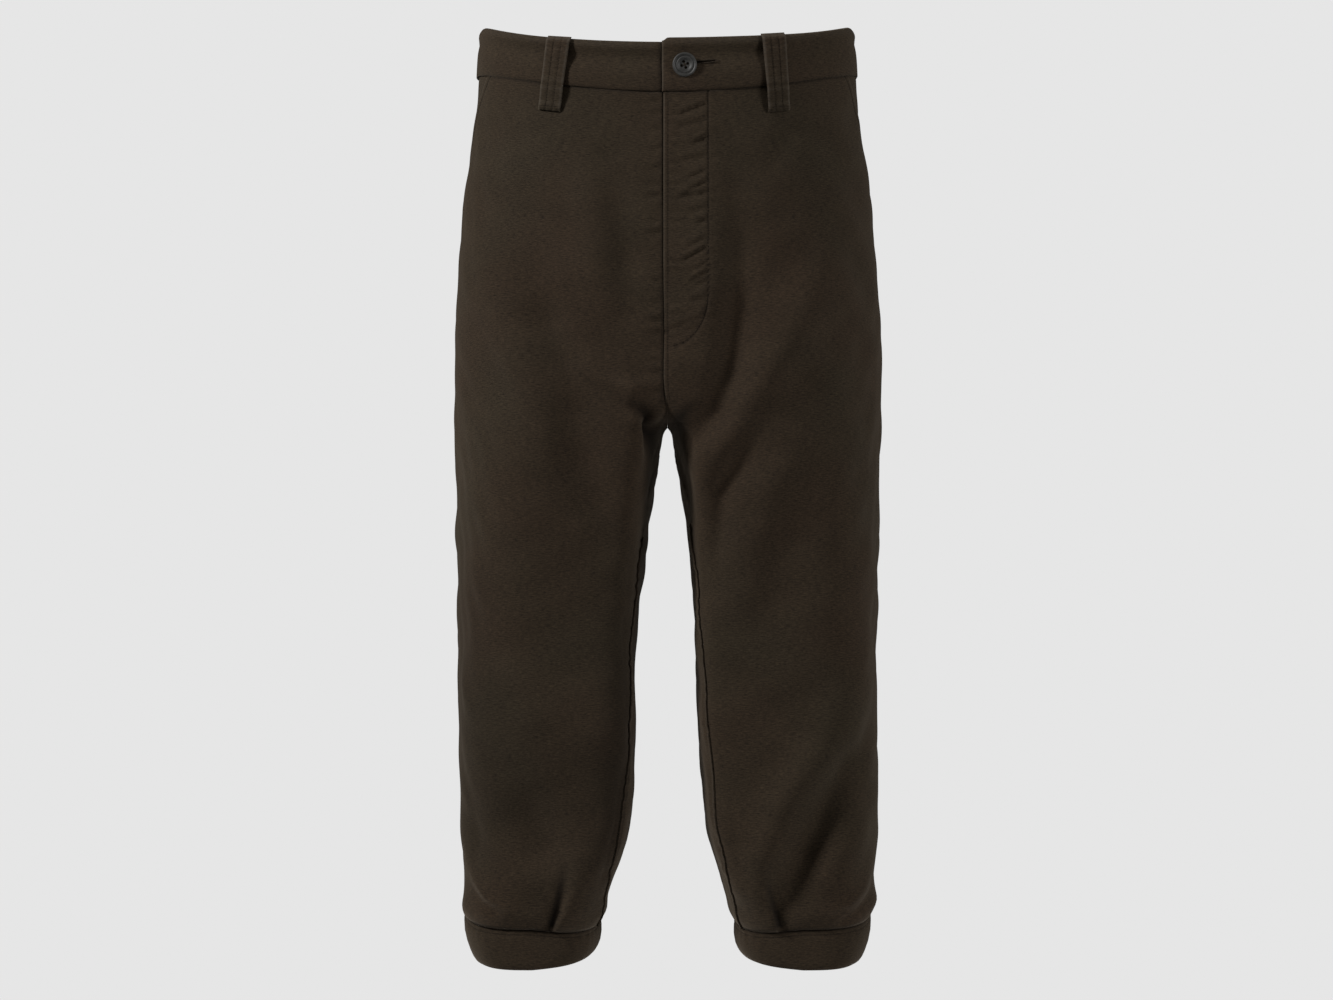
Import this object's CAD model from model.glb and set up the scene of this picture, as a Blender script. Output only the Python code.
from collections import namedtuple
from math import pi, radians, tau

import bmesh
import bpy
import numpy as np
from mathutils import Matrix, Vector


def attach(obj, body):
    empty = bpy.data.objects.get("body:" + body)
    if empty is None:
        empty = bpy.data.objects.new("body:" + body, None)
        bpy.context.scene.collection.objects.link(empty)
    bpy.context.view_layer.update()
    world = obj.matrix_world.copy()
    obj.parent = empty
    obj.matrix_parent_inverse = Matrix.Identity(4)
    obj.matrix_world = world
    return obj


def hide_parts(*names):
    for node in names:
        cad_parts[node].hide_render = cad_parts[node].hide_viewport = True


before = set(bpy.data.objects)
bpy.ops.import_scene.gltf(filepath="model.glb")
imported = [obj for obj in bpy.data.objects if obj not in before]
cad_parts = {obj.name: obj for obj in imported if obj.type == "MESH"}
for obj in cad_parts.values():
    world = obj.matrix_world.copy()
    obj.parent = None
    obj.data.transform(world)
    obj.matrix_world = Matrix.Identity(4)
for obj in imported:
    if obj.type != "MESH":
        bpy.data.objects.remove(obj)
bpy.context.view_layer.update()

# Worn, hollow knee breeches in brushed cotton moleskin. Lengths are in millimetres up to the
# point where a mesh is made. A "level" is the height measured at the garment's side, and a
# "turn" goes round the body: -90 degrees is the front, 0 the outer side, 90 the back and 180
# the inner side. Each leg is drawn on the +X side, and the -X leg is its mirror image.

MM = 0.001
LEFT = 1                    # the wearer's left, on +X
RIGHT = -1
NAMES = {LEFT: "left", RIGHT: "right"}
FRONT = -1
BACK = 1

CLOTH = 1.5
THIN_CLOTH = 1.0            # the pocket bearers and the fly's facing
LOOP_CLOTH = 2.4            # a belt loop is folded cloth
ROUND = 2.25                # 2 is an ellipse, and more is squarer
BAND_TOP = 24.5             # levels
BAND_SEAM = -15.0
FLY_END = -240.0
FORK = -302.0
CUFF_SEAM = -694.0
SIDE_SEAM = radians(8)
INSEAM_SHARE = {LEFT: 1.15, RIGHT: 0.85}
FRONT_LAP = 3.3
FLY_WIDTH = 32.0
FLY_CURVE = 42.0
MOUTH_TURN = radians(-24)
MOUTH_FOOT = -120.0
MOUTH_STITCH = 6.0          # how far the row of stitches lies from the pocket's mouth
UNDERLAP = 45.0
BAND_TILT = 1.7
LOOP_WIDTH = 17.5
LOOP_FOOT = -38.0

FOLD_STRENGTH = 1.9
TUCK_RISE = 3.8
TUCK_SINK = 5.0
FLY_PUCKER_STRENGTH = 1.7
LUMPS = ((190, 0.6), (130, 0.55), (85, 0.42), (55, 0.36), (34, 0.24), (21, 0.12))

# Rows of stitches: (pitch, length, width).
POCKET_ROW = (2.6, 2.0, 0.5)
FLY_EDGE_ROW = (2.4, 1.8, 0.5)
FINE_ROW = (2.6, 1.9, 0.5)
LOOP_ROW = (2.3, 1.7, 0.55)
POCKET_TACK = (0.7, 1.2, 0.5)
LOOP_TACK = (0.8, 1.3, 0.5)

BROWN = (0.0292, 0.0202, 0.0130)
WORN_NAP = (0.085, 0.072, 0.058)
DEEP_SHADE = (0.003, 0.002, 0.0015, 1)
SEWING_THREAD = (0.011, 0.008, 0.0055)
BUTTON_THREAD = (0.03, 0.022, 0.015)

Section = namedtuple(
    "Section", "level side inner lobe front back widest front_drop inner_drop inseam")
SECTIONS = (
    Section(24.5, 153.8, -150, 12, -118, 117, 0, 20, 0, 0),
    Section(-15, 156.0, -150, 12, -120, 120, 0, 22, 0, 0),
    Section(-57, 159.1, -150, 14, -123, 126, 0, 18, 0, 0),
    Section(-107, 166.1, -145, 20, -127, 134, 0, 12, 0, 0),
    Section(-156, 170.7, -130, 30, -130, 140, 2, 6, 0, 0),
    Section(-221, 173.2, -95, 46, -131, 142, 4, 2, 0, 0),
    Section(-255, 173.4, -60, 58, -130, 140, 5, 0, 0, 0),
    Section(-280, 173.3, -28, 69, -128.5, 137, 5, 0, 0, 0),
    Section(-295, 173.3, -8, 77, -127, 134.5, 5, 0, 0, 0),
    Section(-302, 173.2, 0.3, 81, -126.5, 133, 5, 0, 0, 0),
    Section(-318, 173.0, 6.0, 87, -124.5, 129, 5, 0, 0, 2),
    Section(-336, 172.9, 9.4, 91, -122, 124.5, 4, 0, 0, 6),
    Section(-402, 172.8, 17.6, 95, -112, 109, 0, 0, 0, 16),
    Section(-467, 171.4, 23.2, 97.3, -103, 97, -3, 0, 0, 22),
    Section(-566, 171.0, 26.4, 98.7, -95, 86, -4, 0, 0, 28),
    Section(-631, 169.3, 33.7, 101.5, -90, 82, -4, 3, 1, 28),
    Section(-664, 167.0, 44.6, 105, -85, 76, -4, 7, 3, 28),
    Section(-694, 166.0, 54.6, 109, -73, 63, -5, 12, 6, 28),
    Section(-713, 164.4, 55.6, 110, -69, 59, -5, 10, 3, 28),
    Section(-731, 159.0, 59.0, 109, -67, 57, -5, 8.5, -5, 28),
)

# Folds as points (across, height, depth) along each one, where a trough's depth is negative.
# across is measured from the centre on the leg's own side.
Fold = namedtuple("Fold", "hand facing width points")
FOLDS = (
    # the wearer's left leg, in front: the hollow from the hip to the fork, and the ridge below it
    Fold(LEFT, FRONT, 14, ((56, -96, -0.8), (57, -140, -2.2), (57, -190, -4), (54, -228, -5.4),
                           (51, -262, -6.2), (41, -289, -6), (27, -304, -4), (14, -316, -2))),
    Fold(LEFT, FRONT, 20, ((126, -178, 1.8), (108, -212, 4.4), (88, -244, 4.6),
                           (69, -272, 4.4), (50, -302, 3.2), (27, -337, 1.2))),
    Fold(LEFT, FRONT, 12, ((74, -300, -1), (56, -330, -3.8), (42, -357, -5.5),
                           (36, -409, -3.2), (34, -450, -1))),
    Fold(LEFT, FRONT, 17, ((100, -318, 1.5), (84, -350, 4), (70, -392, 3.2), (60, -450, 1.6))),
    Fold(LEFT, FRONT, 9, ((100, -56, -0.8), (92, -72, -1), (84, -92, -0.5))),
    Fold(LEFT, FRONT, 34, ((110, -470, 1.2), (70, -500, 1.4), (48, -520, 0.6))),
    Fold(LEFT, FRONT, 17, ((144, -520, 1.2), (127, -548, 2.8), (109, -579, 5),
                           (90, -611, 5.6), (76, -645, 5.4), (68, -672, 3.6))),
    Fold(LEFT, FRONT, 15, ((166, -548, -2), (146, -579, -5.6), (127, -611, -6.8),
                           (108, -647, -7.2), (97, -672, -4.4))),
    Fold(LEFT, FRONT, 9, ((56, -640, -0.6), (62, -662, -1.4), (66, -684, -0.8))),
    Fold(LEFT, FRONT, 5, ((166, -662, 0.6), (159, -675, 1.5), (147, -689, 1.6),
                          (134, -697, 0.6))),
    Fold(LEFT, FRONT, 4, ((164, -676, -0.6), (152, -689, -1.4), (140, -697, -1.2))),
    # the wearer's right leg, in front: a broad hollow under the hip, and creases at the fork
    Fold(RIGHT, FRONT, 16, ((142, -180, 1.5), (130, -212, 4.2), (118, -246, 3.8),
                            (104, -290, 2.6), (92, -335, 1))),
    Fold(RIGHT, FRONT, 21, ((108, -194, -2.5), (98, -220, -5.6), (86, -250, -6.4),
                            (72, -290, -5.8), (60, -332, -4.4), (50, -376, -2.8),
                            (46, -420, -1))),
    Fold(RIGHT, FRONT, 8, ((36, -252, 0.6), (29, -274, 2), (25, -296, 1.8))),
    Fold(RIGHT, FRONT, 6, ((34, -284, -1), (24, -289, -4), (15, -296, -5.5), (10, -308, -6),
                           (9, -325, -5.5), (11, -345, -3), (13, -370, -1))),
    Fold(RIGHT, FRONT, 13, ((44, -92, -1), (38, -130, -2.4), (31, -168, -2.6),
                            (30, -210, -1.2))),
    Fold(RIGHT, FRONT, 14, ((66, -100, 0.8), (60, -140, 1.8), (56, -180, 1))),
    Fold(RIGHT, FRONT, 7, ((76, -54, 0.8), (58, -74, 1.3), (40, -94, 0.8))),
    Fold(RIGHT, FRONT, 5, ((72, -257, 0.3), (50, -267, 0.9), (28, -272, 0.9), (13, -267, 0.3))),
    Fold(RIGHT, FRONT, 44, ((150, -522, 3), (112, -540, 4.6), (66, -548, 4))),
    Fold(RIGHT, FRONT, 34, ((150, -632, -5), (116, -630, -5.6), (70, -610, -2.4))),
    Fold(RIGHT, FRONT, 18, ((132, -560, -1), (112, -604, -2.5), (98, -640, -3.5),
                            (92, -668, -2.5))),
    Fold(RIGHT, FRONT, 16, ((100, -590, 0.5), (84, -624, 1.8), (72, -660, 2))),
    Fold(RIGHT, FRONT, 28, ((24, -420, -0.8), (28, -500, -1.8), (32, -580, -2.2), (42, -660, -1.6))),
    Fold(RIGHT, FRONT, 5, ((164, -650, 0.6), (157, -668, 1.6), (145, -681, 1.7),
                           (130, -691, 0.8))),
    Fold(RIGHT, FRONT, 4, ((163, -664, -0.6), (152, -679, -1.5), (137, -691, -1.3))),
    # at the sides, where the leg hangs over its cuff
    Fold(LEFT, BACK, 15, ((168, -560, -1), (158, -592, -3), (140, -628, -3.5),
                          (122, -660, -2))),
    Fold(RIGHT, BACK, 16, ((170, -556, -1), (156, -598, -3), (136, -634, -3), (120, -664, -2))),
    # behind: drag lines under the seat, hollows behind the knees, and gathers at the cuffs
    Fold(LEFT, BACK, 16, ((12, -284, -1.5), (48, -268, -2.8), (92, -244, -2.2), (126, -214, -0.6))),
    Fold(LEFT, BACK, 17, ((16, -310, 0.6), (54, -292, 1.6), (98, -268, 1.4), (134, -240, 0.5))),
    Fold(LEFT, BACK, 15, ((22, -350, -0.8), (60, -330, -2.1), (100, -312, -1.3))),
    Fold(LEFT, BACK, 20, ((130, -446, -1), (96, -466, -3), (58, -474, -3.4), (36, -470, -1.5))),
    Fold(LEFT, BACK, 18, ((120, -494, 1), (84, -508, 2.6), (50, -508, 1.6))),
    Fold(LEFT, BACK, 14, ((72, -590, -0.8), (80, -626, -3), (92, -664, -2.5))),
    Fold(LEFT, BACK, 12, ((52, -610, 0.8), (60, -640, 2.4), (66, -672, 1.8))),
    Fold(LEFT, BACK, 12, ((40, -60, -0.8), (56, -110, -2), (62, -160, -1))),
    Fold(RIGHT, BACK, 17, ((14, -290, -1.4), (52, -272, -2.6), (98, -252, -1.9), (128, -226, -0.6))),
    Fold(RIGHT, BACK, 16, ((18, -318, 0.6), (60, -300, 1.6), (104, -280, 1.2), (130, -262, 0.4))),
    Fold(RIGHT, BACK, 19, ((126, -430, -0.8), (88, -452, -3.2), (50, -462, -3), (34, -460, -1))),
    Fold(RIGHT, BACK, 19, ((128, -480, 1), (90, -498, 2.4), (54, -500, 1.8))),
    Fold(RIGHT, BACK, 13, ((66, -600, -1), (76, -634, -3), (88, -666, -2.2))),
    Fold(RIGHT, BACK, 13, ((104, -586, 0.8), (110, -626, 2.4), (108, -664, 1.6))),
    Fold(RIGHT, BACK, 12, ((48, -70, -0.8), (58, -120, -1.8), (70, -165, -0.8))),
)

# The line of the tuck sewn into each cuff's front: (across, height, how far it is sewn down).
TUCKS = {
    RIGHT: ((92, -707, 1), (85, -692, 1), (81, -679, 0.7), (80, -662, 0.25), (79, -640, 0)),
    LEFT: ((90, -707, 1), (85, -693, 1), (81, -682, 0.7), (80, -669, 0.3), (79, -645, 0)),
}

# Lines where the cloth lies in its own shade, by the fork, beside the tucks and along the legs,
# and creases where it is worn lighter: (across, height, how strong), with shade negative.
Mark = namedtuple("Mark", "hand width points")
MARKS = (
    Mark(RIGHT, 4.2, ((34, -283, -0.1), (24, -287, -0.5), (15, -295, -0.9), (10, -309, -1),
                      (10, -330, -1), (12, -352, -0.8), (15, -378, 0))),
    Mark(LEFT, 4.2, ((28, -282, -0.1), (16, -287, -0.5), (8, -296, -0.9), (7, -310, -0.9),
                     (11, -334, -0.2))),
    Mark(RIGHT, 3.0, ((83, -648, 0), (84, -662, -0.5), (87, -680, -0.9), (93, -702, -1))),
    Mark(LEFT, 2.8, ((79, -656, 0), (80, -668, -0.4), (84, -684, -0.8), (90, -702, -1))),
    Mark(RIGHT, 1.6, ((165, -646, 0.05), (159, -666, 0.3), (147, -682, 0.3), (124, -692, 0))),
    Mark(LEFT, 1.4, ((166, -656, 0.05), (160, -673, 0.25), (147, -687, 0.25), (126, -695, 0))),
    Mark(RIGHT, 20, ((18, -400, -0.16), (26, -480, -0.44), (32, -560, -0.56), (42, -640, -0.38),
                     (56, -700, 0))),
    Mark(RIGHT, 26, ((174, -360, 0), (172, -440, -0.3), (168, -540, -0.42), (164, -640, -0.24),
                     (162, -700, 0))),
)


def ease(value):
    value = np.clip(value, 0, 1)
    return value * value * (3 - 2 * value)


def bell(distance, width):
    return np.exp(-(distance / width) ** 2)


def section_at(level):
    """The measures at a level, on a smooth curve through the rows of the table."""
    rows = np.array(SECTIONS[::-1], dtype=float)
    heights = rows[:, 0]
    slopes = np.gradient(rows, heights, axis=0)
    level = np.clip(level, heights[0], heights[-1])
    low = np.clip(np.searchsorted(heights, level) - 1, 0, len(rows) - 2)
    span = (heights[low + 1] - heights[low])[..., None]
    t = (level - heights[low])[..., None] / span
    rise = t * t * (3 - 2 * t)
    start = t * (1 - t) ** 2 * span
    end = t * t * (t - 1) * span
    values = (rows[low] * (1 - rise) + rows[low + 1] * rise
              + slopes[low] * start + slopes[low + 1] * end)
    return Section(*np.moveaxis(values, -1, 0))


def fullness(level, along):
    """How full the section's front is: flat to its inner edge, and flatter in the legs."""
    inner = 1.9 * ease((-225 - level) / 70) * (1 - 0.8 * ease((-620 - level) / 80))
    outer = 0.35 * ease((-340 - level) / 170)
    return 1 + np.where(along < 0, inner, outer)


def drop_share(level, across):
    """How much of the waist's dip in front is reached, by the share of the way to the side."""
    spread = np.clip(abs(across), 0, 1)
    curl = 0.4 * ease((level - BAND_SEAM) / 40)
    return 1 - (1 - curl) * spread ** 2 - curl * spread ** 6


def body(level, turn):
    """Points of the body's outer face on the +X side."""
    cut = section_at(level)
    along = np.cos(turn)
    across = np.sin(turn)
    reach_x = np.where(along > 0, cut.side - cut.lobe, cut.lobe - cut.inner)
    reach_y = np.where(across > 0, cut.back - cut.widest, cut.widest - cut.front)
    depth = np.minimum(abs(across), 1) ** (2 / ROUND)
    depth = np.where(across < 0, 1 - (1 - depth) ** fullness(level, along), depth)
    x = cut.lobe + reach_x * np.sign(along) * abs(along) ** (2 / ROUND)
    y = cut.widest + reach_y * np.sign(across) * depth
    frontness = np.clip((cut.widest - y) / (cut.widest - cut.front), 0, 1) ** 1.2
    frontness = np.where((level > -260) & (frontness > 0), drop_share(level, x / cut.side),
                         frontness)
    innerness = np.clip((cut.lobe - x) / (cut.lobe - cut.inner), 0, 1)
    z = level - cut.front_drop * frontness - cut.inner_drop * innerness
    return np.stack([x, y, z], axis=-1)


def outward(level, turn):
    """Level directions away from the body."""
    step = 0.004
    round_body = body(level, turn + step) - body(level, turn - step)
    up_body = body(level + 1, turn) - body(level - 1, turn)
    normal = np.cross(round_body, up_body) * (1, 1, 0)
    return normal / np.linalg.norm(normal, axis=-1, keepdims=True)


def nearest_on(points, across, height):
    """Distance to a line of points, which side a place is on, and the line's value there."""
    nearest = np.full(np.shape(across), 1e9)
    value = np.zeros(np.shape(across))
    side = np.zeros(np.shape(across))
    for (x0, z0, v0), (x1, z1, v1) in zip(points, points[1:]):
        dx, dz = x1 - x0, z1 - z0
        t = np.clip(((across - x0) * dx + (height - z0) * dz) / (dx * dx + dz * dz), 0, 1)
        gap_x, gap_z = across - x0 - t * dx, height - z0 - t * dz
        away = np.hypot(gap_x, gap_z)
        closer = away < nearest
        value = np.where(closer, v0 + t * (v1 - v0), value)
        side = np.where(closer, np.sign(gap_x * dz - gap_z * dx), side)
        nearest = np.minimum(nearest, away)
    return nearest, side, value


def folds(hand, places, normal):
    """How far a leg's folds move its cloth, each only on the side that it faces."""
    across, height = places[..., 0], places[..., 2]
    total = np.zeros(across.shape)
    for fold in FOLDS:
        if fold.hand == hand:
            facing = ease((normal[..., 1] * fold.facing - 0.1) / 0.4)
            away, _, depth = nearest_on(fold.points, across, height)
            total += depth * bell(away, fold.width) * facing
    return total * ease((abs(across) - 2) / 10)


def tuck(hand, places, normal):
    """The pleat at the cuff: the cloth stands up on its inner side and sinks on its outer."""
    away, side, sewn = nearest_on(TUCKS[hand], places[..., 0], places[..., 2])
    signed = away * side
    sharpness = 0.8 + 5 * (1 - sewn)
    over = 0.5 - 0.5 * np.tanh(signed / sharpness)
    raised = TUCK_RISE * over * bell(np.minimum(signed, 0), 15)
    sunk = TUCK_SINK * (1 - over) * bell(np.maximum(signed, 0), 10)
    return (raised - sunk) * sewn ** 0.8 * (normal[..., 1] < -0.2)


def lumps(places, hand):
    """The slight unevenness of cloth that hangs free, from a few crossing waves."""
    rng = np.random.default_rng(11)
    places = places * (hand, 1, 1)
    total = np.zeros(places.shape[:-1])
    for wavelength, height in LUMPS:
        for _ in range(3):
            direction = rng.normal(size=3)
            direction[2] *= 0.55
            direction *= tau / wavelength / np.linalg.norm(direction)
            total += height * np.sin(places @ direction + rng.uniform(0, tau))
    return total


def skin(hand, level, turn, out, folded=True):
    """Points of a cloth piece: the body's face, folded, and moved out."""
    level, turn = np.broadcast_arrays(np.asarray(level, float), np.asarray(turn, float))
    places = body(level, turn)
    normal = outward(level, turn)
    move = np.asarray(out, float) * np.ones(level.shape)
    if folded:
        calm = ease((BAND_SEAM - level) / 40) * ease((level - CUFF_SEAM) / 12)
        move = move + FOLD_STRENGTH * folds(hand, places, normal)
        move = move + tuck(hand, places, normal) * (0.2 + 0.8 * ease((level - CUFF_SEAM) / 4))
        move = move + lumps(places, hand) * calm
    sideways = ease((abs(places[..., 0]) - 0.3) / 9)
    points = places + normal * move[..., None] * np.stack(
        [sideways, np.ones(sideways.shape), np.ones(sideways.shape)], axis=-1)
    return points * (hand, 1, 1)


def turn_at(level, x):
    """The turn of the front at a distance from the centre."""
    cut = section_at(np.asarray(level, float))
    outer = np.clip((x - cut.lobe) / (cut.side - cut.lobe), 0, 1) ** (ROUND / 2)
    inner = np.clip((cut.lobe - x) / (cut.lobe - cut.inner), 0, 1) ** (ROUND / 2)
    return np.where(x > cut.lobe, -np.arccos(outer), np.arccos(inner) - pi)


def walk(level, start, end):
    """Turns from start to end, and how far along the cloth each one lies."""
    turns = np.linspace(start, end, 121)
    path = body(np.full(turns.shape, float(level)), turns)
    steps = np.linalg.norm(np.diff(path, axis=0), axis=1)
    return turns, np.concatenate([[0], np.cumsum(steps)])


def evened(level, start, end, columns):
    """Turns from start to end, evenly spaced along the cloth."""
    turns, walked = walk(level, start, end)
    return np.interp(np.linspace(0, walked[-1], columns), walked, turns)


def panel_turns(level, seam, centre, shares):
    """Turns from the side seam to the centre. Only the columns near the centre follow the
    quick curve of the fork, and the others drift slowly."""
    drift = radians(90) + radians(90) * ease((-150 - level) / 250)
    drift = np.copysign(drift, centre)
    turns, walked = walk(level, seam, drift)
    return np.interp(shares * walked[-1], walked, turns) + (centre - drift) * shares ** 4


def centre_turn(level, edge):
    """Where a panel meets the centre seam, or its inseam below the fork."""
    if level > FORK + 0.5:
        return turn_at(level, edge)
    return radians(section_at(np.float64(level)).inseam) - pi


def mouth(level):
    """The turn of the pocket's mouth at a level."""
    share = np.clip((BAND_SEAM - level) / (BAND_SEAM - MOUTH_FOOT), 0, 1)
    return MOUTH_TURN + (SIDE_SEAM - MOUTH_TURN) * share ** 0.85


# ---- finishes -------------------------------------------------------------------------------

class Wire:
    """A socket in a finish. Arithmetic on wires adds Math nodes."""

    def __init__(self, finish, socket):
        self.finish = finish
        self.socket = socket

    def maths(self, operation, first, second):
        return self.finish.node("Math", {"operation": operation}, {0: first, 1: second})

    def __add__(self, other):
        return self.maths("ADD", self, other)

    def __mul__(self, other):
        return self.maths("MULTIPLY", self, other)

    __radd__ = __add__


class Finish:
    """A material in the making."""

    def __init__(self, name):
        self.material = bpy.data.materials.new(name)
        self.material.use_nodes = True
        self.tree = self.material.node_tree
        self.shader = self.tree.nodes["Principled BSDF"]

    def feed(self, socket, value):
        if isinstance(value, Wire):
            self.tree.links.new(value.socket, socket)
        else:
            socket.default_value = value

    def node(self, kind, settings, inputs, output=0):
        added = self.tree.nodes.new("ShaderNode" + kind)
        for setting, value in settings.items():
            setattr(added, setting, value)
        for name, value in inputs.items():
            self.feed(added.inputs[name], value)
        return Wire(self, added.outputs[output])

    def surface(self, **inputs):
        for name, value in inputs.items():
            self.feed(self.shader.inputs[name.replace("_", " ")], value)
        return self.material

    def mix(self, share, first, second):
        return self.node("Mix", {"data_type": "RGBA"}, {0: share, 6: first, 7: second}, 2)

    def object_place(self):
        """The place on the garment, in the object's own coordinates."""
        return self.node("TexCoord", {}, {}, 3)

    def stretched(self, place, scale):
        return self.node("VectorMath", {"operation": "MULTIPLY"}, {0: place, 1: scale})

    def noise(self, place, scale, detail=3.0, roughness=0.55):
        return self.node("TexNoise", {}, {"Vector": place, "Scale": scale, "Detail": detail,
                                          "Roughness": roughness})

    def ramp(self, value, low, high):
        return self.node("MapRange", {"clamp": True}, {"Value": value, "From Min": low,
                                                       "From Max": high})

    def bump(self, height, strength, distance, normal=None):
        inputs = {"Height": height, "Strength": strength, "Distance": distance}
        if normal:
            inputs["Normal"] = normal
        return self.node("Bump", {}, inputs)


def tinted(colour, *strengths):
    """A colour with each of its channels made stronger or weaker."""
    return [channel * strength for channel, strength in zip(colour, strengths)] + [1]


def moleskin(name, shade=1.0):
    """Brushed cotton: a short soft nap over fine weft lines, a little uneven in its dye."""
    cloth = Finish(name)
    place = cloth.node("UVMap", {"uv_map": "Cloth"}, {})
    weft = cloth.noise(cloth.stretched(place, (190, 1500, 1)), 1, 3, 0.6)
    fibre = cloth.noise(cloth.stretched(place, (500, 1100, 1)), 1, 2, 0.6)
    dye = cloth.noise(cloth.stretched(place, (28, 60, 1)), 1, 3, 0.5)
    patch = cloth.noise(place, 7, 2, 0.5)
    wear = cloth.node("Attribute", {"attribute_name": "wear"}, {}, 2)
    brown = [channel * shade for channel in BROWN]
    dark = tinted(brown, 0.34, 0.34, 0.34)
    warm = tinted(brown, 1.52, 1.42, 1.34)
    olive = tinted(brown, 1.4, 1.5, 1.4)
    colour = cloth.mix(cloth.ramp(patch, 0.35, 0.65), warm, olive)
    streak = cloth.ramp(weft * 0.62 + fibre * 0.4 + dye * 0.1, 0.40, 0.72)
    colour = cloth.mix(streak, dark, colour)
    lit = cloth.ramp(wear, 0, 1.25)
    sunk = cloth.ramp(wear * -1.0, 0, 1.1)
    colour = cloth.mix(lit, colour, tinted(WORN_NAP, shade, shade, shade))
    colour = cloth.mix(sunk, colour, DEEP_SHADE)
    nap = cloth.bump(weft * 0.7 + fibre * 0.5, 0.55, 0.0005)
    soft = cloth.bump(dye, 0.25, 0.0012, nap)
    return cloth.surface(Base_Color=colour, Roughness=0.86, Normal=soft, Sheen_Weight=0.16,
                         Sheen_Roughness=0.45, Sheen_Tint=(0.75, 0.62, 0.47, 1),
                         Specular_IOR_Level=0.09)


def thread(name, colour):
    """Twisted sewing thread."""
    yarn = Finish(name)
    twist = yarn.noise(yarn.object_place(), 1400, 2, 0.5)
    shade = yarn.mix(yarn.ramp(twist, 0.35, 0.7), tinted(colour, 0.7, 0.7, 0.7),
                     tinted(colour, 1.25, 1.25, 1.25))
    return yarn.surface(Base_Color=shade, Roughness=0.8, Specular_IOR_Level=0.1,
                        Normal=yarn.bump(twist, 0.3, 0.0002))


def depths(name):
    """The unlit inside of a hole."""
    hollow = Finish(name)
    grain = hollow.noise(hollow.object_place(), 900, 1, 0.5)
    black = hollow.mix(grain, (0.002, 0.0015, 0.001, 1), (0.004, 0.003, 0.002, 1))
    return hollow.surface(Base_Color=black, Roughness=1.0, Specular_IOR_Level=0.0)


def horn(name):
    """Dark grey horn with cloudy streaks and a satin polish."""
    polished = Finish(name)
    place = polished.object_place()
    cloud = polished.noise(polished.stretched(place, (140, 140, 420)), 1, 4, 0.6)
    colour = polished.mix(polished.ramp(cloud, 0.35, 0.7), (0.02, 0.0195, 0.018, 1),
                          (0.045, 0.043, 0.04, 1))
    satin = 0.5 + polished.ramp(cloud, 0.3, 0.8) * 0.15
    scratches = polished.noise(place, 2600, 2, 0.6)
    return polished.surface(Base_Color=colour, Roughness=satin, Specular_IOR_Level=0.35,
                            Normal=polished.bump(scratches, 0.08, 0.0001))


# ---- cloth pieces ---------------------------------------------------------------------------

def grid_mesh(name, points, cloth_uv, wear, closed=False):
    """A mesh through a grid of points, with the cloth's own coordinates and its worn places."""
    rows, columns = points.shape[:2]
    sheet = bmesh.new()
    bmesh.ops.create_grid(sheet, x_segments=columns - 1, y_segments=rows - 1, size=1)
    uv_layer = sheet.loops.layers.uv.new("Cloth")
    wear_layer = sheet.verts.layers.float.new("wear")
    places = points.reshape(-1, 3) * MM
    spots = cloth_uv.reshape(-1, 2) * MM
    worn = wear.reshape(-1)
    sheet.verts.index_update()
    for vertex in sheet.verts:
        vertex.co = places[vertex.index]
        vertex[wear_layer] = worn[vertex.index]
    for face in sheet.faces:
        for loop in face.loops:
            loop[uv_layer].uv = spots[loop.vert.index]
    if closed:
        bmesh.ops.remove_doubles(sheet, verts=sheet.verts, dist=0.000001)
    return finished(name, sheet)


def finished(name, shape):
    """The smooth-shaded mesh of a shape, which is used up."""
    mesh = bpy.data.meshes.new(name)
    shape.to_mesh(mesh)
    shape.free()
    mesh.shade_smooth()
    return mesh


def placed(name, mesh, material):
    """An object of the garment, in its material."""
    mesh.materials.append(material)
    piece = bpy.data.objects.new(name, mesh)
    bpy.context.scene.collection.objects.link(piece)
    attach(piece, "root")
    return piece


def placed_shape(name, shape, material):
    return placed(name, finished(name, shape), material)


def cloth_piece(node, panel, material, wall=CLOTH, wear=None, closed=False):
    """The cloth that stands for a CAD node. A wall of 0 is for cloth drawn with both faces."""
    name = node + "_cloth"
    worn = np.zeros(panel.turns.shape) if wear is None else wear
    mesh = grid_mesh(name, panel.ordered(panel.points), panel.cloth_uv(), panel.ordered(worn),
                     closed)
    piece = placed(name, mesh, material)
    if wall:
        maker = piece.modifiers.new("Wall", "SOLIDIFY")
        maker.thickness = wall * MM
        maker.offset = -1
    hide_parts(node)


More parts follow.
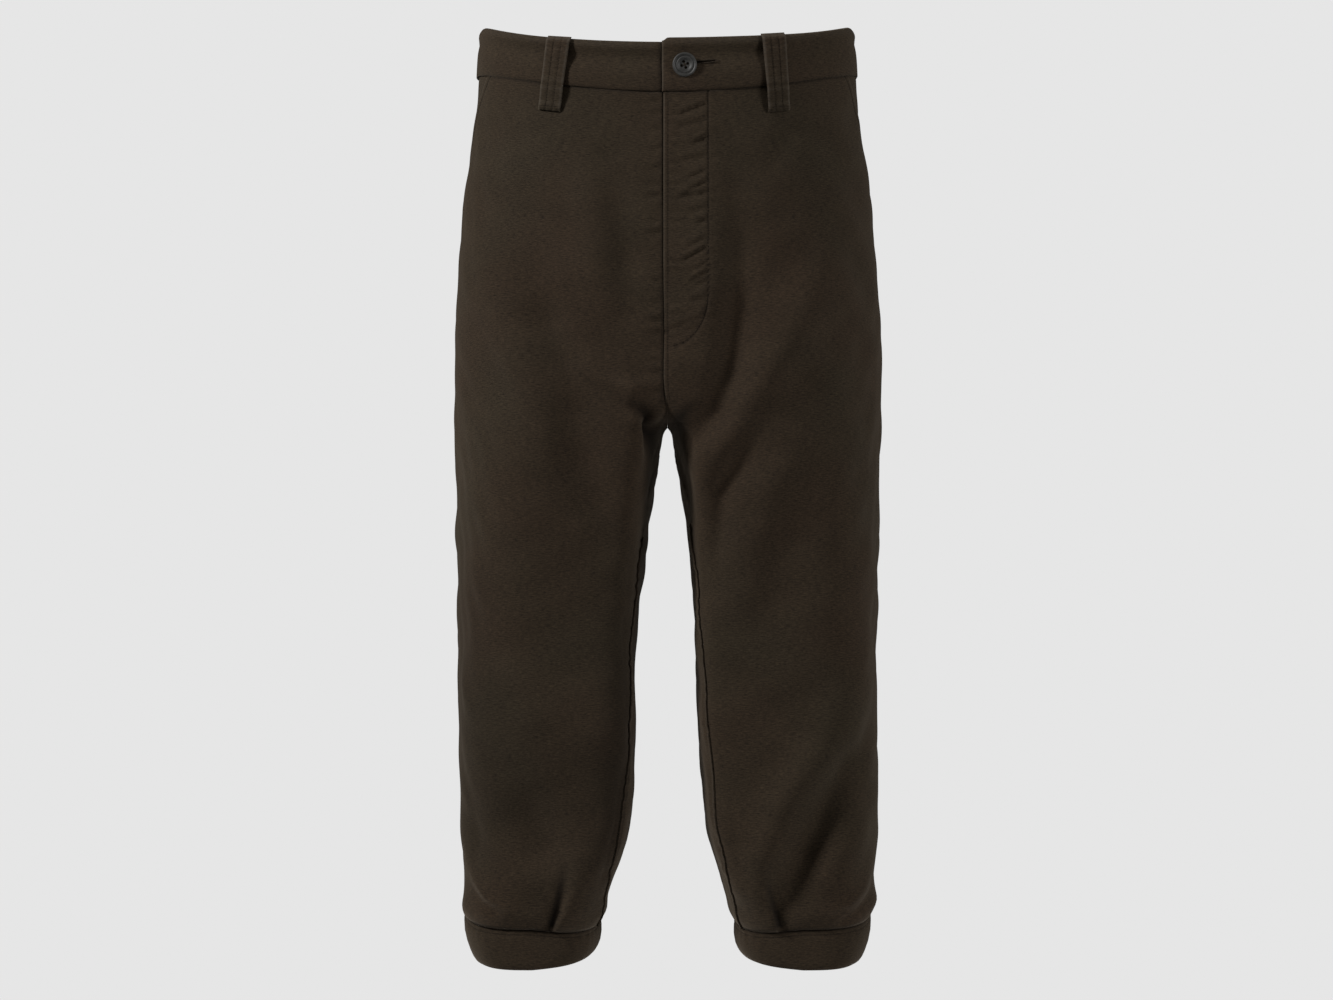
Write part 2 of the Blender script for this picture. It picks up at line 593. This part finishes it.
class Panel:
    """Rows of turns for one cloth piece, with the distances that its seams need."""

    def __init__(self, hand, levels, turn_rows):
        self.hand = hand
        self.turns = np.array(turn_rows)
        self.levels = np.asarray(levels, float)[:, None] * np.ones(self.turns.shape)
        self.places = body(self.levels, self.turns)
        steps = np.linalg.norm(np.diff(self.places, axis=1), axis=2)
        self.from_start = np.concatenate(
            [np.zeros((len(steps), 1)), np.cumsum(steps, axis=1)], axis=1)
        self.from_end = self.from_start[:, -1:] - self.from_start
        self.points = None

    def ordered(self, values):
        """Columns in the order that makes the faces point outwards."""
        return values if self.hand == LEFT else values[:, ::-1]

    def cloth_uv(self):
        middle = self.turns.shape[1] // 2
        across = self.from_start - self.from_start[:, middle:middle + 1]
        return self.ordered(np.stack([across, self.levels], axis=-1))

    def shape(self, out, folded=True):
        """Sets the grid of the finished piece, which its stitches are laid on too."""
        self.points = skin(self.hand, self.levels, self.turns, out, folded)

    def spots(self, levels, reach, measure):
        """Places on the finished piece, at a level and where a row's measure is reached."""
        rows = np.interp(levels, self.levels[:, 0], np.arange(len(self.levels)))
        found = []
        for row, level_reach in zip(rows, reach):
            low = min(int(row), len(self.levels) - 2)
            ends = []
            for at in (low, low + 1):
                order = np.argsort(measure[at])
                column = np.interp(level_reach, measure[at][order], order.astype(float))
                first = min(int(column), self.turns.shape[1] - 2)
                share = column - first
                ends.append(self.points[at, first] * (1 - share)
                            + self.points[at, first + 1] * share)
            found.append(ends[0] * (1 - row + low) + ends[1] * (row - low))
        return np.array(found)


def ripples(along, pitch, seed):
    """Uneven puckers along a seam, between -1 and 1."""
    rng = np.random.default_rng(seed)
    total = np.zeros(np.shape(along))
    for share in (0.7, 0.9, 1.0, 1.25, 1.6):
        total += np.sin(along * tau / (pitch * share) + rng.uniform(0, tau))
    return total / 3.2


def resampled(path, pitch):
    """Points at an even pitch along a path."""
    steps = np.linalg.norm(np.diff(path, axis=0), axis=1)
    walked = np.concatenate([[0], np.cumsum(steps)])
    at = np.arange(pitch / 2, walked[-1], pitch)
    return np.stack([np.interp(at, walked, path[:, axis]) for axis in range(3)], axis=-1)


def add_stitch(shape, middle, along, length, width):
    """One stitch: a short round-ended bead of thread, half sunk in the cloth."""
    direction = Vector(along).normalized()
    turn = direction.to_track_quat("X", "Z").to_matrix().to_4x4()
    size = Matrix.Diagonal((length / 2 * MM, width / 2 * MM, width / 2 * MM, 1))
    spot = Matrix.Translation(Vector(middle) * MM)
    bmesh.ops.create_uvsphere(shape, u_segments=6, v_segments=5, radius=1,
                              matrix=spot @ turn @ size @ Matrix.Rotation(pi / 2, 4, "Y"))


def sew(shape, path, row):
    """A row of stitches along a path, each a little uneven."""
    pitch, length, width = row
    rng = np.random.default_rng(len(path))
    places = resampled(path, pitch)
    for index in range(1, len(places) - 1):
        along = places[index + 1] - places[index - 1]
        wobble = rng.normal(scale=0.05, size=3)
        add_stitch(shape, places[index] + wobble, along + wobble, length, width)


def panel_levels(rows):
    return np.linspace(CUFF_SEAM, BAND_SEAM, rows)


def blouse(level):
    """The cloth hangs over the cuff and turns in to its seam."""
    return 2.4 * bell(level - CUFF_SEAM - 8, 9) - 0.3 * bell(level - CUFF_SEAM, 1.5)


def fly_stitch_x(height):
    """The J-shaped line of the fly's stitching, as a distance from the centre."""
    drop = np.clip((height - FLY_END) / FLY_CURVE, 0, 1)
    return FLY_WIDTH * np.sqrt(1 - (1 - drop) ** 2)


# The fly's stitching, down and round to its edge: (across, height, 0).
FLY_LINE = tuple((FLY_WIDTH, height, 0) for height in (-14, -100, FLY_END + FLY_CURVE)) + tuple(
    (FLY_WIDTH * np.cos(bend), FLY_END + FLY_CURVE * (1 - np.sin(bend)), 0)
    for bend in np.linspace(0, pi / 2, 12)[1:])


def fly_puckers(x, height, line):
    """Short creases drawn up by the fly's stitching, slanting down to its edge."""
    rng = np.random.default_rng(21)
    total = np.zeros(x.shape)
    place = -46.0
    while place > FLY_END + 14:
        reach = rng.uniform(12, 30)
        slope = rng.uniform(0.05, 0.6)
        depth = rng.uniform(0.5, 1.3)
        wide = rng.uniform(1.7, 2.9)
        drop = height - place + slope * (line - x)
        along = ease((x - line + reach) / 8) * ease((line - x + 1) / 3)
        total += along * depth * (0.8 * bell(drop - 1.4 * wide, wide) - bell(drop, wide))
        place -= rng.uniform(7, 17)
    return FLY_PUCKER_STRENGTH * total


# Shares of the way from the side seam to the centre, closer together at the fly.
FRONT_SHARES = np.concatenate([np.linspace(0, 0.05, 16), np.linspace(0.06, 0.78, 86),
                               np.linspace(0.785, 1, 58)])


def front_panel(hand):
    """The front leg's rows, from its lapped edge or inseam to the pocket's mouth or side seam."""
    levels = panel_levels(281)
    rows = []
    for level in levels:
        above_fork = float(ease((level - FORK) / 40))
        edge = -FRONT_LAP * above_fork if hand == LEFT else 0.1 - 7 * above_fork
        start = centre_turn(level, edge)
        if level < FORK:
            start += (INSEAM_SHARE[hand] - 1) * (start + pi)
        end = mouth(level) if level > MOUTH_FOOT else SIDE_SEAM
        rows.append(panel_turns(level, end, start, FRONT_SHARES)[::-1])
    return Panel(hand, levels, rows)


def front_relief(panel):
    """How far a front's seams and puckers move its cloth, and where it is worn or shaded."""
    hand = panel.hand
    level = panel.levels
    x = panel.places[..., 0]
    height = panel.places[..., 2]
    leg = ease((FORK - level) / 20)
    side = ease((MOUTH_FOOT - level) / 6)
    out = blouse(level) - 0.9 * bell(panel.from_end, 2.0) * side
    out = out + 0.2 * bell(panel.from_start, 3) * leg
    out = out + 0.6 * ripples(level, 10, 5 + hand) * bell(panel.from_start - 4, 7) * leg
    out = out - 0.35 * bell(panel.from_end - MOUTH_STITCH, 1.2) * (1 - side)
    wear = 0.55 * bell(panel.from_end, 1.0) * (1 - side)
    wear = wear - 0.45 * bell(panel.from_end - MOUTH_STITCH, 1.0) * (1 - side)
    wear = wear - 0.75 * bell(level - BAND_SEAM, 1.6) - 0.7 * bell(level - CUFF_SEAM, 1.3)
    wear = wear + 0.22 * bell(panel.from_start - 0.8, 0.8) * leg
    for mark in MARKS:
        away, _, strength = nearest_on(mark.points, x, height)
        wear = wear + (mark.hand == hand) * strength * bell(away, mark.width)
    return out, wear


def fly_relief(panel):
    """The same for the left front's fly: it stands up as far as its J-shaped stitching."""
    level = panel.levels
    x = panel.places[..., 0]
    height = panel.places[..., 2]
    fly = ease((level - FORK) / 30)
    line = fly_stitch_x(height)
    inside = ease((line - x) / 5) * ease((height - FLY_END) / 14)
    sewn = ease((height - FLY_END + 2) / 3)
    drawn, _, _ = nearest_on(FLY_LINE, x, height)
    out = 1.3 * fly - 0.9 * fly * ease((x - line - 1) / 22)
    out = out - 1.3 * fly * bell(panel.from_start, 0.7)
    out = out - 0.8 * bell(drawn, 0.9) - 0.4 * fly * bell(x, 1.1)
    out = out + fly_puckers(x, height, line) * inside
    out = out + 0.9 * ripples(level, 7, 14) * bell(x - 6, 6) * inside
    out = out + 0.35 * ripples(level, 11, 6) * bell(x - line - 4, 5) * sewn
    wear = 0.4 * bell(panel.from_start - 0.5, 0.5) * fly
    wear = wear - 0.65 * bell(drawn, 0.6)
    wear = wear - 0.25 * bell(x - 0.4, 0.7) * fly
    return out, wear


def underlap_relief(panel):
    """The same for the right front's edge, which runs under the fly."""
    x = panel.places[..., 0]
    fly = ease((panel.levels - FORK) / 30)
    out = 0.9 * ripples(panel.levels, 12, 7) * bell(x - 7, 9) * fly * ease((x - 4) / 3)
    out = out - 2.1 * fly * ease((4.6 - x) / 3.0)
    return out, -0.5 * bell(x - 3.6, 1.6) * fly


def sew_pocket_mouth(stitches, panel):
    """A row beside the pocket's mouth, and the bar tack at its foot."""
    down = np.linspace(BAND_SEAM - 4, MOUTH_FOOT + 4, 60)
    sew(stitches, panel.spots(down, np.full(60, MOUTH_STITCH), panel.from_end), POCKET_ROW)
    tack = panel.spots(np.full(5, MOUTH_FOOT + 3), np.linspace(1, 7, 5), panel.from_end)
    sew(stitches, tack, POCKET_TACK)


def sew_fly(stitches, panel):
    """A row down the fly's edge, and the J-shaped row that holds its facing."""
    down = np.linspace(BAND_SEAM - 3, FORK + 16, 150)
    sew(stitches, panel.spots(down, np.full(150, 3.6), panel.from_start), FLY_EDGE_ROW)
    bend_top = FLY_END + FLY_CURVE + 2
    bend = np.linspace(0, pi / 2, 40)
    down = np.concatenate([np.linspace(BAND_SEAM, bend_top, 80),
                           bend_top - FLY_CURVE * np.sin(bend)])
    across = np.concatenate([np.full(80, FLY_WIDTH), FLY_WIDTH * np.cos(bend)])
    path = panel.spots(down, across, panel.places[..., 0])
    sew(stitches, path[2:-1], FINE_ROW)


def make_front(hand, material, yarn):
    panel = front_panel(hand)
    out, wear = front_relief(panel)
    edge_out, edge_wear = fly_relief(panel) if hand == LEFT else underlap_relief(panel)
    panel.shape(out + edge_out)
    stitches = bmesh.new()
    sew_pocket_mouth(stitches, panel)
    if hand == LEFT:
        sew_fly(stitches, panel)
    node = "front_" + NAMES[hand]
    cloth_piece(node, panel, material, wear=wear + edge_wear)
    placed_shape(node + "_stitches", stitches, yarn)


def make_back(hand, material):
    levels = panel_levels(271)
    rows = []
    for level in levels:
        end = -centre_turn(level, 0.1)
        if level < FORK:
            end = pi + radians(section_at(np.float64(level)).inseam) * INSEAM_SHARE[hand]
            end += 0.04 * float(ease((FORK - 4 - level) / 20))
        rows.append(panel_turns(level, SIDE_SEAM, end, np.linspace(0, 1, 111)))
    panel = Panel(hand, levels, rows)
    level = panel.levels
    leg = ease((FORK - level) / 20)
    out = blouse(level) - 0.9 * bell(panel.from_start, 2.0)
    out = out - 0.45 * bell(panel.from_end, 3.2)
    out = out + 0.6 * ripples(level, 10, 5 + hand) * bell(panel.from_end - 4, 7) * leg
    out = out + 0.4 * ripples(level, 14, 8 + hand) * bell(panel.from_end - 3, 7) * (1 - leg)
    out = out - 0.5 * bell(level - BAND_SEAM, 2.2)
    panel.shape(out)
    cloth_piece("back_" + NAMES[hand], panel, material)


def make_pocket_bearer(hand, material):
    levels = np.linspace(MOUTH_FOOT - 12, BAND_SEAM + 3, 60)
    rows = [evened(level, mouth(level) - radians(7), SIDE_SEAM, 30) for level in levels]
    panel = Panel(hand, levels, rows)
    out = -CLOTH - 0.2 + 1.2 * bell(panel.from_end, 4) + 0.5 * bell(panel.from_start, 3)
    panel.shape(out)
    cloth_piece("pocket_bearer_" + NAMES[hand], panel, material, wall=THIN_CLOTH)


def make_fly_facing(material):
    levels = np.linspace(FLY_END + 1, BAND_SEAM - 1.5, 60)
    rows = [turn_at(level, np.linspace(-2, max(6.0, float(fly_stitch_x(level))), 14))
            for level in levels]
    panel = Panel(LEFT, levels, rows)
    panel.shape(-CLOTH - 2.2)
    cloth_piece("fly_facing", panel, material, wall=THIN_CLOTH)


# The waistband's section: (level, out) up its face, over the rolled top and down inside.
BAND_FACE = ((-15.0, -1.4), (-15.2, -0.2), (-15.1, 0.7), (-14.3, 1.3), (-12, 1.7),
             (-9, 2.1), (-6, 2.3), (-2, 2.3), (2, 1.7), (5, 0.7), (8, -0.3), (11, -0.8),
             (14, -0.4), (17, 0.8),
             (19, 1.4), (21, 1.3), (22.6, 0.6), (23.8, -0.1), (24.4, -1.1), (24.3, -2.1),
             (23.4, -2.9), (20, -3.2), (10, -3.0), (0, -2.9), (-13.5, -2.9), (-15.2, -2.2))


def rounded_end(distance, radius):
    """How open a rolled edge's section is: nothing at its very end, and full at its radius."""
    share = np.clip(distance / radius, 0.0, 1)
    return np.sqrt(np.clip(1 - (1 - share) ** 2, 0.0004, 1))


def band_turns(level, start, end):
    """Even turns, with more of them in the rolled edges at both ends."""
    turns, walked = walk(level, start, end)
    roll = np.array([0, 0.1, 0.35, 0.75, 1.2])
    middle = np.linspace(1.8, walked[-1] - 1.8, 190)
    return np.interp(np.concatenate([roll, middle, walked[-1] - roll[::-1]]), walked, turns)


def band_tilt(hand, across, level):
    """How much higher the waistband sits on the wearer's left, and lower on the right."""
    share = (level - BAND_SEAM) / (BAND_TOP - BAND_SEAM)
    return hand * BAND_TILT * ease((190 - across) / 150) * share


def make_band(hand, material):
    """Half the waistband: the right half's end runs under the left half's."""
    front = -UNDERLAP if hand == RIGHT else -FRONT_LAP - 1.2
    rows = [band_turns(level, turn_at(level, front), -turn_at(level, 0.1))
            for level, _ in BAND_FACE]
    panel = Panel(hand, [level for level, _ in BAND_FACE], rows)
    outs = np.array([out for _, out in BAND_FACE])[:, None]
    x = panel.places[..., 0]
    share = (panel.levels - BAND_SEAM) / (BAND_TOP - BAND_SEAM)
    sideways = ease(1 - abs(panel.turns) / radians(38))
    in_front = panel.turns < 0
    opened = rounded_end(panel.from_start, 1.5) * rounded_end(panel.from_end, 1.2)
    out = -1.1 + (outs + 1.1) * opened
    flatter = 1 - 0.85 * sideways * (outs > 0)
    out = out * flatter - 3.6 * sideways * np.clip((panel.levels - 17) / 7.5, 0, 1) ** 2
    out = out + 0.3 * lumps(panel.places * (1, 1, 0.4), hand)
    if hand == RIGHT:
        out = out - 3.5 * ease((7 - x) / 9) * in_front
    else:
        out = out + 0.9 * bell(x + 2, 30) * in_front
        out = out + 0.5 * bell(x - 14, 14) * bell(panel.levels + 6, 8) * in_front
    panel.shape(out, folded=False)
    corner = 2.6 * (1 - ease((panel.from_start - 0.5) / 4.5)) * share ** 6 * (hand == LEFT)
    panel.points[..., 2] += band_tilt(hand, x, panel.levels) * in_front - corner
    wear = 0.35 * bell(panel.from_start - 0.7, 0.7) * (hand == LEFT) * (outs > -1)
    wear = wear + 0.12 * bell(panel.levels - 22, 2.5) - 0.7 * bell(panel.levels + 15.3, 0.8)
    if hand == RIGHT:
        wear = wear - 0.6 * bell(x - 4, 3.2) * in_front
    cloth_piece("waistband_" + NAMES[hand], panel, material, wall=0, wear=wear)


# The cuff's section: (level, out) down its face from its seam, round the hem and up inside.
CUFF_STITCH = -698.6
CUFF_FACE = ((-693.6, -1.6), (-694.4, -1.0), (-695.2, -0.5), (-696.3, 0.0), (-697.6, 0.3),
             (CUFF_STITCH, 0.0), (-699.6, 0.5), (-703, 0.8), (-709, 1.0), (-717, 1.0),
             (-724, 0.8), (-728, 0.4), (-730.2, -0.4), (-731, -1.6), (-730.4, -2.7),
             (-728, -3.3), (-714, -3.3), (-697, -3.3), (-694.6, -2.9))


def make_cuff(hand, material, yarn):
    """The gathered leg's band, closed round it and rolled at its hem."""
    face = CUFF_FACE[::-1]
    rows = [evened(level, -pi, pi, 241) for level, _ in face]
    panel = Panel(hand, [level for level, _ in face], rows)
    outs = np.array([out for _, out in face])[:, None]
    out = outs + 0.35 * lumps(panel.places * (1, 1, 0.5), hand) * (outs > -2)
    out = out + 0.25 * ripples(panel.from_start, 11, 9) * bell(panel.levels + 700, 12)
    out[:, -1] = out[:, 0]
    panel.shape(out, folded=False)
    wear = -0.75 * bell(panel.levels + 694.4, 1.2) * (outs > -2)
    wear = wear - 0.3 * bell(panel.levels - CUFF_STITCH, 0.7) * (outs > -2)
    stitches = bmesh.new()
    row = [level for level, _ in face].index(CUFF_STITCH)
    sew(stitches, panel.points[row], FINE_ROW)
    node = "cuff_" + NAMES[hand]
    cloth_piece(node, panel, material, wall=0, wear=wear, closed=True)
    placed_shape(node + "_stitches", stitches, yarn)


# Belt loops, with how far from the centre each one's top and foot lie.
Loop = namedtuple("Loop", "name hand facing top foot curl")
LOOPS = (
    Loop("belt_loop_front_right", RIGHT, FRONT, 85.2, 93.5, 0.0),
    Loop("belt_loop_front_left", LEFT, FRONT, 83, 88, 1.0),
    Loop("belt_loop_back_right", RIGHT, BACK, 96, 99, 0.3),
    Loop("belt_loop_back_left", LEFT, BACK, 97, 100, 0.0),
    Loop("belt_loop_centre_back", LEFT, BACK, 0, 0, 0.2),
)


def make_belt_loop(loop, material, yarn):
    share = np.linspace(0, 1, 81)
    levels = LOOP_FOOT + (BAND_TOP + 1.0 - LOOP_FOOT) * share
    middles = loop.foot + (loop.top - loop.foot) * share ** 0.8
    across = np.linspace(-1, 1, 25)
    rows = []
    for level, middle in zip(levels, middles):
        width = LOOP_WIDTH + 1.2 * max(0.0, (level + 5) / 30)
        turns = turn_at(min(level, BAND_TOP), middle + across * width / 2)
        rows.append(turns if loop.facing == FRONT else -turns[::-1])
    panel = Panel(loop.hand, levels, rows)
    rest = 4.0 + 1.2 * ease((levels + 30) / 12)
    arch = 0.7 * np.sin(pi * share) ** 0.7
    ends = -1.4 * bell(share, 0.025) - 3.0 * bell(share - 1, 0.035)
    out = (rest + arch + ends)[:, None] - 1.1 * abs(across) ** 10
    out = out + loop.curl * 1.6 * np.clip(-across, 0, 1) ** 3 * bell(levels[:, None] + 24, 14)
    out = out - 0.5 * bell(abs(across) - 0.30, 0.09)
    out = out + 0.12 * ripples(panel.levels, 5, 2) * np.ones(out.shape)
    panel.shape(out, folded=False)
    if loop.facing == FRONT:
        tilt = band_tilt(loop.hand, middles, levels)
        panel.points[..., 2] += np.where(levels > BAND_SEAM, tilt, 0)[:, None]
    wear = 0.4 * bell(abs(across) - 0.9, 0.1) * np.ones(out.shape)
    wear = wear + 0.14 * ripples(panel.levels, 7, 3) * np.ones(out.shape)
    wear = wear + 0.2 * bell(share[:, None] - 0.97, 0.05)
    wear = wear - 0.3 * bell(abs(across) - 0.30, 0.05) - 0.5 * bell(share[:, None], 0.012)
    stitches = bmesh.new()
    for column in (8, 16):
        sew(stitches, panel.points[3:-4, column], LOOP_ROW)
    sew(stitches, panel.points[5, 3:-3], LOOP_TACK)
    cloth_piece(loop.name, panel, material, wall=LOOP_CLOTH, wear=wear)
    placed_shape(loop.name + "_stitches", stitches, yarn)


# ---- the button and its hole ----------------------------------------------------------------

BUTTON_X = 13.6
BUTTON_LEVEL = 5.2
BUTTON_HOLES = 2.5          # from the button's middle to each hole's
BUTTON_TWIST = 0.35
SLIT_STEPS = 60

# The button's section from its middle out: (radius, height).
BUTTON_SECTION = ((0, 1.5), (3.6, 1.5), (4.4, 1.7), (5.0, 2.3), (5.6, 2.9), (6.2, 2.9),
                  (6.9, 2.2), (7.5, 2.2), (8.2, 3.1), (8.7, 3.3), (9.3, 3.1), (9.7, 2.4),
                  (9.7, 1.6), (9.0, 0.7), (7.5, 0.2), (0, 0.0))


def seat_on_band(x, level, out):
    """A place on the waistband's face, as a matrix with its Z axis out of the cloth."""
    turn = turn_at(level, x)
    place = skin(LEFT, level, turn, out, False)
    normal = Vector(outward(np.float64(level), turn))
    lean = normal.to_track_quat("Z", "Y").to_matrix().to_4x4()
    return Matrix.Translation(Vector(place) * MM) @ lean


def turned(section, steps):
    """A solid of revolution about Z."""
    shape = bmesh.new()
    previous = None
    for radius, height in section:
        vertex = shape.verts.new((radius * MM, 0, height * MM))
        if previous:
            shape.edges.new((previous, vertex))
        previous = vertex
    bmesh.ops.spin(shape, geom=shape.verts[:] + shape.edges[:], axis=(0, 0, 1),
                   cent=(0, 0, 0), angle=tau, steps=steps, use_merge=True)
    bmesh.ops.remove_doubles(shape, verts=shape.verts, dist=0.000001)
    bmesh.ops.recalc_face_normals(shape, faces=shape.faces)
    return shape


def add_bead(shape, seat, size, segments, rings):
    """A ball stretched to a size in millimetres, in a seat of its own."""
    stretch = Matrix.Diagonal((size[0] * MM, size[1] * MM, size[2] * MM, 1))
    bmesh.ops.create_uvsphere(shape, u_segments=segments, v_segments=rings, radius=1,
                              matrix=seat @ stretch)


def make_button(material, yarn, dark):
    """A four-hole button, with crossed thread over it and a shank of thread under it."""
    seat = seat_on_band(BUTTON_X, BUTTON_LEVEL, 2.7)
    shape = turned(BUTTON_SECTION, 72)
    shape.transform(seat)
    button = placed_shape("waist_button_turned", shape, material)
    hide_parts("waist_button")
    holes = bmesh.new()
    for quarter in range(4):
        angle = quarter * pi / 2 + BUTTON_TWIST
        spot = Vector((np.cos(angle), np.sin(angle), 0)) * BUTTON_HOLES * MM
        add_bead(holes, Matrix.Translation(spot + Vector((0, 0, 1.5 * MM))),
                 (1.15, 1.15, 0.15), 20, 10)
    strands = bmesh.new()
    for angle in (BUTTON_TWIST, BUTTON_TWIST + pi / 2):
        for shift in (-0.22, 0.22):
            aside = Vector((-np.sin(angle), np.cos(angle), 0)) * shift * MM
            strand = Matrix.Translation(aside + Vector((0, 0, 1.55 * MM)))
            add_bead(strands, strand @ Matrix.Rotation(angle, 4, "Z"), (2.3, 0.17, 0.28), 10, 8)
    bmesh.ops.create_cone(strands, cap_ends=True, segments=16, radius1=2.3 * MM,
                          radius2=1.9 * MM, depth=4.4 * MM,
                          matrix=Matrix.Translation((0, 0, -1.8 * MM)))
    for shape, name, look in ((holes, "button_holes", dark), (strands, "button_thread", yarn)):
        shape.transform(seat)
        placed_shape(name, shape, look)


def make_buttonhole(yarn, dark):
    """A worked slit that runs out from under the button to a bar at its end."""
    share = np.linspace(0, 1, SLIT_STEPS)
    across = 20 + 17.5 * share
    level = BUTTON_LEVEL + 1.6 + 0.9 * share
    edges = bmesh.new()
    for index in range(SLIT_STEPS):
        seat = seat_on_band(across[index], level[index], 2.15)
        for side in (-1, 1):
            spot = seat @ Vector((0, side * (0.75 + 0.35 * (1 - share[index])) * MM, 0))
            outwards = seat @ Vector((0, side * MM, 0.0003)) - seat.translation
            add_stitch(edges, np.array(spot) / MM, outwards, 1.3, 0.42)
    for rung in np.linspace(-1, 1, 7):
        seat = seat_on_band(38.0 + 0.12 * rung, level[-1] + rung * 1.1, 2.2)
        add_stitch(edges, np.array(seat.translation) / MM, (1, 0, 0), 1.6, 0.45)
    placed_shape("buttonhole_thread", edges, yarn)
    slit = bmesh.new()
    for index in range(SLIT_STEPS):
        seat = seat_on_band(across[index], level[index], 2.1)
        add_bead(slit, seat, (0.4, 0.5 + 1.2 * (1 - share[index]) ** 2, 0.25), 8, 6)
    placed_shape("buttonhole_slit", slit, dark)


# ---- the studio -----------------------------------------------------------------------------

GARMENT_MIDDLE = Vector((0, 0, -0.36))
CAMERA_PLACE = (-0.0008, -3.6, -0.3608)
CAMERA_LENS = 118.6


def make_studio():
    """A pale floor below the feet, a bright even backdrop, and soft light from the left."""
    disc = bmesh.new()
    bmesh.ops.create_circle(disc, cap_ends=True, segments=96, radius=1.1)
    bmesh.ops.translate(disc, verts=disc.verts, vec=(0, 0.1, -1.16))
    floor_mesh = finished("floor", disc)
    pale = Finish("pale_floor")
    grain = pale.noise(pale.object_place(), 60, 2, 0.5)
    floor_mesh.materials.append(pale.surface(
        Base_Color=pale.mix(grain, (0.76, 0.76, 0.76, 1), (0.8, 0.8, 0.8, 1)), Roughness=0.9))
    floor = bpy.data.objects.new("floor", floor_mesh)
    bpy.context.scene.collection.objects.link(floor)

    world = bpy.data.worlds.new("studio")
    world.use_nodes = True
    tree = world.node_tree
    lighting = tree.nodes["Background"]
    lighting.inputs["Color"].default_value = (1, 1, 1, 1)
    lighting.inputs["Strength"].default_value = 0.12
    backdrop = tree.nodes.new("ShaderNodeBackground")
    backdrop.inputs["Color"].default_value = (0.791, 0.791, 0.791, 1)
    seen = tree.nodes.new("ShaderNodeLightPath")
    choice = tree.nodes.new("ShaderNodeMixShader")
    tree.links.new(seen.outputs["Is Camera Ray"], choice.inputs[0])
    tree.links.new(lighting.outputs[0], choice.inputs[1])
    tree.links.new(backdrop.outputs[0], choice.inputs[2])
    tree.links.new(choice.outputs[0], tree.nodes["World Output"].inputs[0])
    bpy.context.scene.world = world
    bpy.context.scene.view_settings.view_transform = "Standard"

    make_light("key", (-2.9, -1.55, 1.6), 0.8, 150)
    make_light("fill", (2.7, -1.6, 0.6), 1.2, 56)


def make_light(name, place, size, power):
    light = bpy.data.lights.new(name, "AREA")
    light.size = size
    light.energy = power
    lamp = bpy.data.objects.new(name, light)
    lamp.location = place
    aim = GARMENT_MIDDLE - Vector(place)
    lamp.rotation_euler = aim.to_track_quat("-Z", "Y").to_euler()
    bpy.context.scene.collection.objects.link(lamp)


def make_camera():
    lens = bpy.data.cameras.new("camera")
    lens.sensor_width = 36
    lens.lens = CAMERA_LENS
    lens.clip_end = 50
    camera = bpy.data.objects.new("camera", lens)
    camera.location = CAMERA_PLACE
    camera.rotation_euler = (radians(90), 0, 0)
    bpy.context.scene.collection.objects.link(camera)
    bpy.context.scene.camera = camera


def make_breeches():
    fabric = moleskin("moleskin")
    band_fabric = moleskin("moleskin_band", 1.04)
    yarn = thread("thread", SEWING_THREAD)
    pale_yarn = thread("button_yarn", BUTTON_THREAD)
    shadow = depths("hole_depths")
    for hand in (RIGHT, LEFT):
        make_front(hand, fabric, yarn)
        make_back(hand, fabric)
        make_pocket_bearer(hand, fabric)
        make_band(hand, band_fabric)
        make_cuff(hand, fabric, yarn)
    make_fly_facing(fabric)
    for loop in LOOPS:
        make_belt_loop(loop, band_fabric, yarn)
    make_button(horn("horn"), pale_yarn, shadow)
    make_buttonhole(pale_yarn, shadow)


make_breeches()
make_studio()
make_camera()
